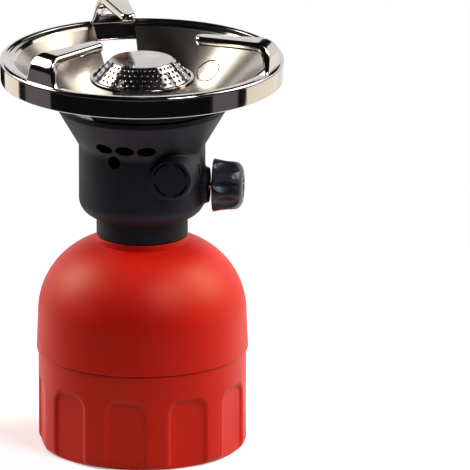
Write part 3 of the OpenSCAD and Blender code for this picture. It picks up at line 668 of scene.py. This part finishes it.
def knob_shell():
    profile = refine(rounded([
        (0, KNOB_L - KNOB_DISH, 0), (KNOB_DISH_R, KNOB_L - KNOB_DISH, 0.2), (KNOB_DISH_EDGE_R, KNOB_L, 0.2),
        (KNOB_R - KNOB_TAPER, KNOB_L, KNOB_EDGE_R), (KNOB_R, 0, 0.5), (KNOB_SKIRT_IN_R, 0, 0.4),
        (KNOB_SKIRT_IN_R, KNOB_HOLLOW, 0.6), (KNOB_HUB_R, KNOB_HOLLOW, 0.4), (KNOB_HUB_R, 0, 0.3),
        (KNOB_SOCKET_R, 0, 0), (KNOB_SOCKET_R, KNOB_SOCKET, 0), (0, KNOB_SOCKET, 0),
    ], 12), 0.35)
    segments = 480
    turns = np.linspace(0, 2 * math.pi, segments, endpoint=False)[None, :]
    r = np.repeat(profile[:, :1], segments, 1)
    x = np.repeat(profile[:, 1:], segments, 1)
    pitch = 2 * math.pi / SCALLOPS
    off = (turns - math.radians(SCALLOP_TURN) + pitch / 2) % pitch - pitch / 2
    along = np.clip((x - SCALLOP_MID) / SCALLOP_HALF_L, -1, 1)
    lens = np.sqrt(np.maximum(0, 1 - along ** 2))
    half = SCALLOP_HALF_W * lens + 0.01
    across = KNOB_R * np.sin(off) / half
    dent = SCALLOP_DEPTH * lens * np.maximum(0, 1 - across ** 2)
    r = np.where(r > KNOB_SKIRT_IN_R + 0.1, r - dent, r)
    points = np.stack([KNOB_X + x, r * np.cos(turns), SPINDLE_Z + r * np.sin(turns)], -1).reshape(-1, 3)
    return new_object("knob_shell", points, grid_faces(len(profile), segments, True, True))


settle(knob_shell(), "knob", KNOB, ["control_knob"])


# Plain plus, minus and arc marks on the knob's face

def knob_marks():
    face = KNOB_X + KNOB_L - KNOB_DISH
    bar = [(-MARK_HALF_L, -MARK_HALF_W), (MARK_HALF_L, -MARK_HALF_W), (MARK_HALF_L, MARK_HALF_W),
           (-MARK_HALF_L, MARK_HALF_W)]
    minus = [(s + MARK_OUT, h) for s, h in bar]
    plus_across = [(-s - MARK_OUT, h) for s, h in bar]
    plus_upright = [(h - MARK_OUT, s) for s, h in bar]
    sweep = curved_bar(MARK_ARC_R, MARK_ARC_IN_R, 50, 130, 20)
    points, faces = [], []
    for shape in (minus, plus_across, plus_upright, sweep):
        faces += stack_faces(2, len(shape), len(points))
        for depth in (-MARK_SINK, MARK_RISE):
            points += [(face + depth, s, SPINDLE_Z + h) for s, h in shape]
    return new_object("knob_marks", points, faces, 30.0)


settle(knob_marks(), "knob", MARK)


# Pan: one turned sheet from the tube hole out to the rolled hem

def pan_face():
    bead = arc((0, 0), 1.0, *BEAD_TURNS, 24) * (BEAD_R, BEAD_RISE) + (BEAD_MID_R, BEAD_MID_Z)
    step_r, step_z = bead[0] - FLANGE_STEP
    bowl = rounded([(TUBE_HOLE_R, PAN_FLOOR_Z, 0), (PAN_FLOOR_R, PAN_FLOOR_Z, 4.0),
                    (FLANGE_IN_R, step_z - FLANGE_FALL, 1.2), (step_r, step_z, 0.6), (*bead[0], 0)],
                   10, False)[:-1]
    band = rounded([(*bead[-1], 0), (RIM_TOP_R, RIM_TOP_Z, 0.3), (RIM_R, RIM_LOW_Z + HEM_R, 0)], 8, False)[1:]
    hem = arc((RIM_R - HEM_R, RIM_LOW_Z + HEM_R), HEM_R, *HEM_TURNS, 18)
    return refine(np.concatenate([bowl, bead, band, hem]), 1.6, False)


def thickened(path, depth):
    """Closed outline of a sheet: the path and the same path moved to its right by depth."""
    ahead = np.gradient(path, axis=0)
    ahead /= np.linalg.norm(ahead, axis=1)[:, None]
    right = np.stack([ahead[:, 1], -ahead[:, 0]], 1)
    return np.concatenate([path, (path + right * depth)[::-1]])


def window(turn):
    """Cutter for the opening that a pot support leaves in the sheet."""
    out, side, up = axes_at(math.radians(turn))
    corners = rounded([(WINDOW_IN_U, -WINDOW_IN_HALF, 2.0), (WINDOW_OUT_U, -WINDOW_OUT_HALF, 2.5),
                       (WINDOW_OUT_U, WINDOW_OUT_HALF, 2.5), (WINDOW_IN_U, WINDOW_IN_HALF, 2.0)], 6)
    points = [out * u + side * v + up * z for z in (WINDOW_LOW_Z, WINDOW_HIGH_Z) for u, v in corners]
    return new_object("cutter", points, stack_faces(2, len(corners)))


def press_mark():
    """Ring-shaped cutter lying on the bowl's slope."""
    ring_steps, cord_steps = 72, 10
    out, side, up = axes_at(math.radians(PRESS_MARK_TURN))
    rise = (FLANGE_Z - PAN_FLOOR_Z) / (BOWL_R - PAN_FLOOR_R)
    slope = math.atan(rise)
    along = out * math.cos(slope) + up * math.sin(slope)
    normal = np.cross(along, side)
    centre = out * PRESS_MARK_OUT + up * (PAN_FLOOR_Z + (PRESS_MARK_OUT - PAN_FLOOR_R) * rise)
    points = []
    for s in np.linspace(0, 2 * math.pi, ring_steps, endpoint=False):
        spoke = along * math.cos(s) + side * math.sin(s)
        for t in np.linspace(0, 2 * math.pi, cord_steps, endpoint=False):
            reach = PRESS_MARK_R + PRESS_MARK_CORD_R * math.cos(t)
            points.append(centre + spoke * reach + normal * PRESS_MARK_CORD_R * math.sin(t))
    return new_object("cutter", points, grid_faces(ring_steps, cord_steps, True, True))


pan = turned("pan_sheet", thickened(pan_face(), SHEET), 480, None, 50.0)
cut(pan, [*[window(turn) for turn in SUPPORT_TURNS], press_mark()], 50.0)
settle(pan, "head", CHROME, ["top_pan"])
pan.data.materials.append(BOWL)
pan.data.materials.append(PAN_SHADE)
# The bowl's underside, the faces under the bead and the inside of the skirt take the near-black finish:
# painted shade where shadow falls under the bowl and rim
IN_BOWL, SHADED_UNDERSIDE = 1, 2
FLANGE_FROM_R = BOWL_R - 0.6
for face in pan.data.polygons:
    x, y, z = (v / MM for v in face.center)
    r = math.hypot(x, y)
    outward = (face.normal.x * x + face.normal.y * y) / r
    inside_skirt_in_shade = outward < -0.5 and z < FLANGE_Z - 1
    faces_down_in_shade = face.normal.z < -0.3
    if r < FLANGE_FROM_R:
        face.material_index = IN_BOWL if face.normal.z > 0.1 else SHADED_UNDERSIDE
    elif z > RIM_LOW_Z + 3 * HEM_R and (faces_down_in_shade or inside_skirt_in_shade):
        face.material_index = SHADED_UNDERSIDE


# Pot supports: leg, rounded elbow and arm, with a rounded flange all round the arm's edge

def support_line():
    """Points and outward normals along a support's outer face, from foot to tip."""
    bend_u, bend_z = BEAD_MID_R - ELBOW_R, SUPPORT_Z - ELBOW_R
    line = [((BEAD_MID_R, z), (1.0, 0.0)) for z in np.linspace(BEAD_MID_Z - SUPPORT_SINK, bend_z, 12)]
    for t in np.radians(np.linspace(0, 90, 13))[1:]:
        n = (math.cos(t), math.sin(t))
        line.append(((bend_u + ELBOW_R * n[0], bend_z + ELBOW_R * n[1]), n))
    line += [((u, SUPPORT_Z), (0.0, 1.0)) for u in np.linspace(bend_u, TIP_U, 30)[1:]]
    return np.array([p for p, _ in line]), np.array([n for _, n in line])


def support_edge(total):
    """Points (along, half width) and normals on one edge of a support that is total long."""
    tip_start = total - TIP_R
    nudge = 0.1

    def half_width(t):
        leg = FOOT_HALF_W + (ARM_HALF_W - FOOT_HALF_W) * min(1.0, t / ELBOW_AT)
        arm = ARM_HALF_W + (TIP_R - ARM_HALF_W) * max(0.0, (t - ELBOW_AT) / (tip_start - ELBOW_AT))
        flare = FOOT_FLARE * (1 - float(smoothstep(0.0, FOOT_FLARE_L, t)))
        return (leg if t < ELBOW_AT else arm) + flare

    edge = []
    for t in np.linspace(0, tip_start, 52):
        slope = (half_width(min(t + nudge, tip_start)) - half_width(max(t - nudge, 0))) / (2 * nudge)
        edge.append((np.array((t, half_width(t))), np.array((-slope, 1.0)) / math.hypot(slope, 1.0)))
    for a in np.radians(np.linspace(5, 90, 14)):
        n = np.array((math.sin(a), math.cos(a)))
        edge.append((np.array((tip_start, 0)) + TIP_R * n, n))
    return edge


def support(name, turn):
    line, normals = support_line()
    s = np.concatenate([[0], np.cumsum(np.linalg.norm(np.diff(line, axis=0), axis=1))])
    out, side, up = axes_at(math.radians(turn))
    corner = np.radians(np.linspace(0, 90, 7))[1:]

    def at(t, v, depth):
        u, z = (np.interp(t, s, line[:, k]) for k in (0, 1))
        nu, nz = (np.interp(t, s, normals[:, k]) for k in (0, 1))
        long = math.hypot(nu, nz)
        return out * (u + depth * nu / long) + side * v + up * (z + depth * nz / long)

    def half_row(p, n, hand):
        """Half a cross-section, from the flange's free edge towards the middle, hand 1 or -1."""
        fold = FOLD_FOOT_H + FOLD_GROWTH * float(smoothstep(0.0, FOLD_GROWTH_L, p[0]))
        inner = p - n * FOLD_R
        row = [at(p[0], hand * p[1], d) for d in (-fold, -0.66 * fold, -FOLD_R)]
        for c in corner:
            q = inner + n * FOLD_R * math.cos(c)
            row.append(at(q[0], hand * q[1], -FOLD_R + FOLD_R * math.sin(c)))
        return row + [at(inner[0], hand * inner[1] * k, 0.0) for k in (0.66, 0.33)]

    rows = []
    for p, n in support_edge(s[-1]):
        middle = at(p[0] - n[0] * FOLD_R, 0.0, 0.0)
        rows.append(half_row(p, n, 1) + [middle] + half_row(p, n, -1)[::-1])
    obj = new_object(name, np.array(rows).reshape(-1, 3), grid_faces(len(rows), len(rows[0])), 60.0)
    sheet = obj.modifiers.new("sheet", "SOLIDIFY")
    sheet.thickness = SHEET * MM
    sheet.offset = -1.0
    sheet.use_even_offset = True
    settle(obj, "head", CHROME)


for number, turn in enumerate(SUPPORT_TURNS):
    support(f"pot_support_{number + 1}", turn)


# Burner cap: flat top, perforated cone and base lip, each hole with a turned-in edge

def cap_holes():
    slope = math.atan2(CAP_TOP_Z - LIP_TOP_Z, CAP_FOOT_R - CAP_TOP_R)
    steps = 14
    points, faces = [], []
    for row in range(CAP_ROWS):
        share = (row + 0.7) / (CAP_ROWS + 0.3)
        r = CAP_FOOT_R + (CAP_TOP_R - CAP_FOOT_R) * share
        z = LIP_TOP_Z + (CAP_TOP_Z - LIP_TOP_Z) * share
        for k in range(CAP_HOLES):
            out, side, up = axes_at(2 * math.pi * (k + row / 2) / CAP_HOLES)
            normal = out * math.sin(slope) + up * math.cos(slope)
            along = np.cross(normal, side)
            centre = out * r + up * z
            faces += stack_faces(len(CAP_HOLE_PROFILE), steps, len(points))
            for height, radius in CAP_HOLE_PROFILE:
                for t in np.linspace(0, 2 * math.pi, steps, endpoint=False):
                    spoke = side * math.cos(t) + along * math.sin(t)
                    points.append(centre + normal * height + spoke * radius)
    return new_object("cutter", points, faces)


cap_outline = refine(rounded([
    (0, CAP_TOP_Z, 0), (CAP_TOP_R, CAP_TOP_Z, 0.7), (CAP_FOOT_R, LIP_TOP_Z, 0.7),
    (CAP_LIP_R, LIP_TOP_Z, 0.35), (CAP_LIP_R, CAP_LIP_Z, 0.2), (CAP_LIP_IN_R, CAP_LIP_Z, 0.2),
    (CAP_LIP_IN_R, LIP_TOP_Z - CAP_SHEET, 0.1),
    (CAP_FOOT_R - CAP_WALL, LIP_TOP_Z - CAP_SHEET, 0.1), (CAP_TOP_R - CAP_WALL, CAP_TOP_Z - CAP_SHEET, 0.4),
    (0, CAP_TOP_Z - CAP_SHEET, 0),
]), 1.5)
cap = turned("cap_shell", cap_outline, 368, None, 35.0)
cut(cap, [cap_holes()], 35.0)
settle(cap, "head", BURNER, ["burner_cap"])
# Faces well inside the cone, which are the hole walls and the cap's inner face, take the near-black finish:
# painted shade in the holes
cap.data.materials.append(CAP_HOLE_SHADE)
IN_HOLE = 1
HOLE_SHADE_DEPTH = 0.4
HOLE_SHADE_TOP_GAP = 0.3
for face in cap.data.polygons:
    x, y, z = (v / MM for v in face.center)
    outer_r = CAP_FOOT_R + (LIP_TOP_Z - z) * (CAP_FOOT_R - CAP_TOP_R) / (CAP_TOP_Z - LIP_TOP_Z)
    if outer_r - math.hypot(x, y) > HOLE_SHADE_DEPTH and z < CAP_TOP_Z - HOLE_SHADE_TOP_GAP:
        face.material_index = IN_HOLE


# Floor, world, drape, lamps and camera

def seen_rays(tree):
    """1 for rays that show a surface: from the camera, off a mirror or through glass."""
    paths = tree.nodes.new("ShaderNodeLightPath")
    last = paths.outputs["Is Camera Ray"]
    for kind in ("Is Glossy Ray", "Is Transmission Ray"):
        either = tree.nodes.new("ShaderNodeMath")
        either.operation = "MAXIMUM"
        tree.links.new(last, either.inputs[0])
        tree.links.new(paths.outputs[kind], either.inputs[1])
        last = either.outputs[0]
    return last


def floor():
    """Pale disc that fades out, with its rings a little below its middle."""
    sides, sink = 96, -0.02
    points = [(0, 0, 0)] + [(r / MM * math.cos(t), r / MM * math.sin(t), sink)
                            for r in FLOOR_RINGS for t in np.linspace(0, 2 * math.pi, sides, endpoint=False)]
    faces = [[0, 1 + k, 1 + (k + 1) % sides] for k in range(sides)]
    faces += [[1 + q for q in f] for f in grid_faces(len(FLOOR_RINGS), sides, False, True)]
    obj = new_object("floor", points, faces)
    grey, pale = (0.4, 0.4, 0.4), (0.86, 0.86, 0.86)
    mat, shader = material("floor_white", grey, 0.0, 0.9)
    shader.inputs["Specular IOR Level"].default_value = 0.0
    shader.inputs["Emission Color"].default_value = (1.0, 1.0, 1.0, 1.0)
    seen = seen_rays(mat.node_tree)
    tint(mat, shader, seen, grey, pale)
    link(mat, spread(mat, seen, 0.0, 0.35, 0.0, 1.0), shader.inputs["Emission Strength"])
    radius = add_node(mat, "ShaderNodeVectorMath", operation="LENGTH")
    link(mat, place(mat), radius.inputs[0])
    link(mat, spread(mat, radius.outputs["Value"], 1.0, 0.0, *FLOOR_FADE), shader.inputs["Alpha"])
    obj.data.materials.append(mat)


def drape():
    """Dark cloth round the studio, open at the back, with pale screens, seen only in reflections."""
    turns = np.arange(DRAPE_STEP, 360 + DRAPE_STEP, DRAPE_STEP)
    points = []
    for lift in np.radians(DRAPE_LIFTS):
        r, z = DRAPE_R / MM * math.cos(lift), DRAPE_R / MM * math.sin(lift)
        points += [(r * math.cos(t), r * math.sin(t), z) for t in np.radians(turns)]
    gap_low, gap_high = DRAPE_GAP_LIFTS

    def in_gap(quad):
        row, col = divmod(quad[0], len(turns))
        return gap_low <= DRAPE_LIFTS[row] < gap_high and turns[col] < DRAPE_GAP_TURN

    faces = [quad for quad in grid_faces(len(DRAPE_LIFTS), len(turns), False, True) if not in_gap(quad)]
    obj = new_object("drape", points, faces)
    for name, glow in GLOWS.items():
        mat, shader = material(name, (0.02, 0.02, 0.022), 0.0, 0.9)
        shader.inputs["Specular IOR Level"].default_value = 0.0
        shader.inputs["Emission Color"].default_value = (*glow, 1.0)
        shader.inputs["Emission Strength"].default_value = 1.0
        obj.data.materials.append(mat)
    for face in obj.data.polygons:
        x, y, z = face.center
        lift = math.degrees(math.atan2(z, math.hypot(x, y)))
        turn = math.degrees(math.atan2(y, x)) % 360
        for start, end, low, high, name in SCREENS:
            if low < lift < high and start < turn < end:
                face.material_index = list(GLOWS).index(name)
    obj.visible_camera = False


def add_object(name, data):
    obj = bpy.data.objects.new(name, data)
    bpy.context.scene.collection.objects.link(obj)
    return obj


def lamp(name, direction, distance, size, power, color):
    """Square lamp that looks at the middle of the object."""
    data = bpy.data.lights.new(name, "AREA")
    data.shape = "RECTANGLE"
    data.size = size
    data.size_y = size
    data.energy = power
    data.color = color
    obj = add_object(name, data)
    way = Vector(direction).normalized()
    obj.location = Vector((0, 0, LAMP_AIM_Z)) + way * distance
    obj.rotation_euler = (-way).to_track_quat("-Z", "Y").to_euler()
    obj.visible_camera = False


def world():
    made = bpy.data.worlds.new("studio")
    made.use_nodes = True
    tree = made.node_tree
    tree.nodes.clear()
    out = tree.nodes.new("ShaderNodeOutputWorld")
    mix = tree.nodes.new("ShaderNodeMixShader")
    fill, white = (tree.nodes.new("ShaderNodeBackground") for _ in range(2))
    fill.inputs["Strength"].default_value = FILL_LIGHT
    white.inputs["Strength"].default_value = 1.0
    for node in (fill, white):
        node.inputs["Color"].default_value = (1, 1, 1, 1)
    tree.links.new(seen_rays(tree), mix.inputs[0])
    tree.links.new(fill.outputs[0], mix.inputs[1])
    tree.links.new(white.outputs[0], mix.inputs[2])
    tree.links.new(mix.outputs[0], out.inputs[0])
    bpy.context.scene.world = made


def camera():
    turn, lift = math.radians(CAMERA_TURN), math.radians(CAMERA_LIFT)
    back = Vector((math.sin(turn) * math.cos(lift), -math.cos(turn) * math.cos(lift), math.sin(lift)))
    right = Vector((math.cos(turn), math.sin(turn), 0.0))
    up = back.cross(right)
    data = bpy.data.cameras.new("camera")
    data.sensor_width = CAMERA_SENSOR
    data.lens = CAMERA_SENSOR * CAMERA_DISTANCE / VIEW_WIDTH
    data.clip_end = 100.0
    obj = add_object("camera", data)
    obj.location = right * CAMERA_RIGHT + up * CAMERA_UP + back * CAMERA_DISTANCE
    obj.rotation_euler = (-back).to_track_quat("-Z", "Y").to_euler()
    bpy.context.scene.camera = obj


floor()
drape()
world()
lamp("soft_left", (-0.80, 0.20, 0.52), distance=1.2, size=0.7, power=9.5, color=(1.0, 0.97, 0.93))
lamp("soft_right", (0.80, 0.20, 0.62), distance=1.2, size=0.7, power=11.0, color=(1.0, 0.96, 0.91))
lamp("soft_front", (0.48, -0.49, 0.74), distance=1.3, size=0.36, power=8.5, color=(0.86, 0.78, 1.0))
camera()
bpy.context.scene.view_settings.view_transform = "Standard"
